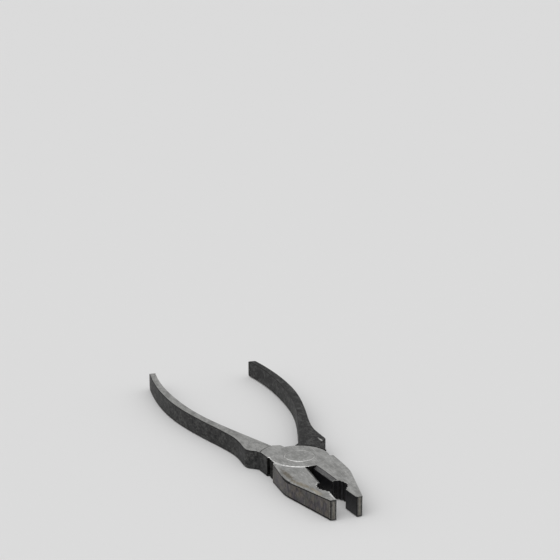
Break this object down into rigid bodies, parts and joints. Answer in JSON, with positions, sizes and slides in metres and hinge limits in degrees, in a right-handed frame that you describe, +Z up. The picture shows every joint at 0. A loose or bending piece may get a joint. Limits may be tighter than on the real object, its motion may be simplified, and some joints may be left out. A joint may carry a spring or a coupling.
{
  "type": "combination pliers",
  "caption": "Bare forged-steel combination pliers with a lap joint, flat nose, toothed round grip, wire cutter and curved handles.",
  "frame": {"origin": "on the rivet's axis, at the underside that the pliers lie on", "axes": "+X along the centre plane to the jaw tips, +Z up along the rivet's axis, +Y to the jaw of the upper half"},
  "size_m": [0.2, 0.0658, 0.0089],
  "materials": {
    "upper_forging": "ground faces on the lap side, dark oxide scale on the sides, worn bright edges",
    "lower_forging": "dark forged oxide, jaw face ground and stained, worn bright edges",
    "rivet_steel": "ground flush with the lap"
  },
  "bodies": {
    "lower": {"lower_half": "lower_forging", "pivot_rivet": "rivet_steel"},
    "upper": {"upper_half": "upper_forging"}
  },
  "joints": [
    {"name": "jaw_pivot", "type": "hinge", "parent": "lower", "child": "upper", "pos_m": [0, 0, 0.00445], "axis": [0, 0, 1], "range_deg": [-9.6, 29]}
  ]
}
